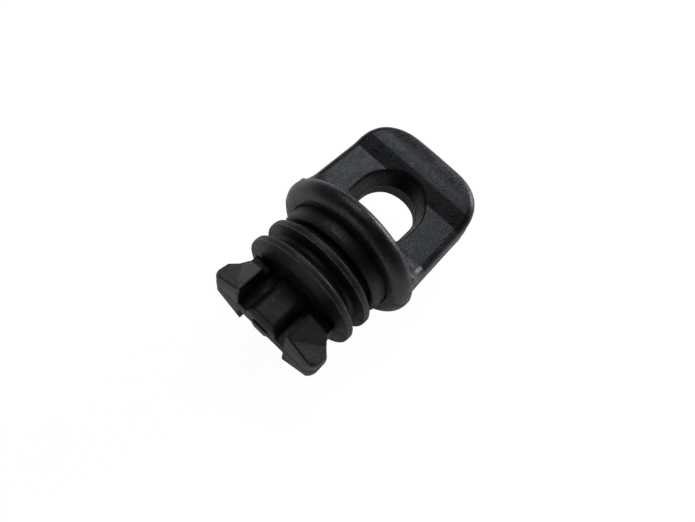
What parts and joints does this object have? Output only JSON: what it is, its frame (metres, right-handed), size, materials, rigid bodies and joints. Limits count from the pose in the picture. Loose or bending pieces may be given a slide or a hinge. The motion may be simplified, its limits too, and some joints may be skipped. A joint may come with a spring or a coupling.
{
  "type": "quarter-turn pull plug",
  "caption": "Panel plug with a flat pull tab and cord eye, a ribbed rubber sleeve and a winged bayonet head that locks by a quarter turn.",
  "frame": {"origin": "on the long axis at the middle of the sleeve's collar, which fills the panel hole", "axes": "+X along the axis towards the pull tab, the tab lies in the XY plane, +Z out of the tab's face"},
  "size_m": [0.0341, 0.0212, 0.0212],
  "materials": {
    "sleeve_rubber": "matte black, fine moulded skin",
    "handle_plastic": "black with a fine sparkle grain",
    "head_plastic": "black, slightly satin"
  },
  "bodies": {
    "sleeve": {"ribbed_sleeve": "sleeve_rubber"},
    "key": {"handle": "handle_plastic", "bayonet_head": "head_plastic"}
  },
  "joints": [
    {"name": "quarter_turn", "type": "hinge", "parent": "sleeve", "child": "key", "pos_m": [0, 0, 0], "axis": [1, 0, 0], "range_deg": [0, 90]}
  ]
}
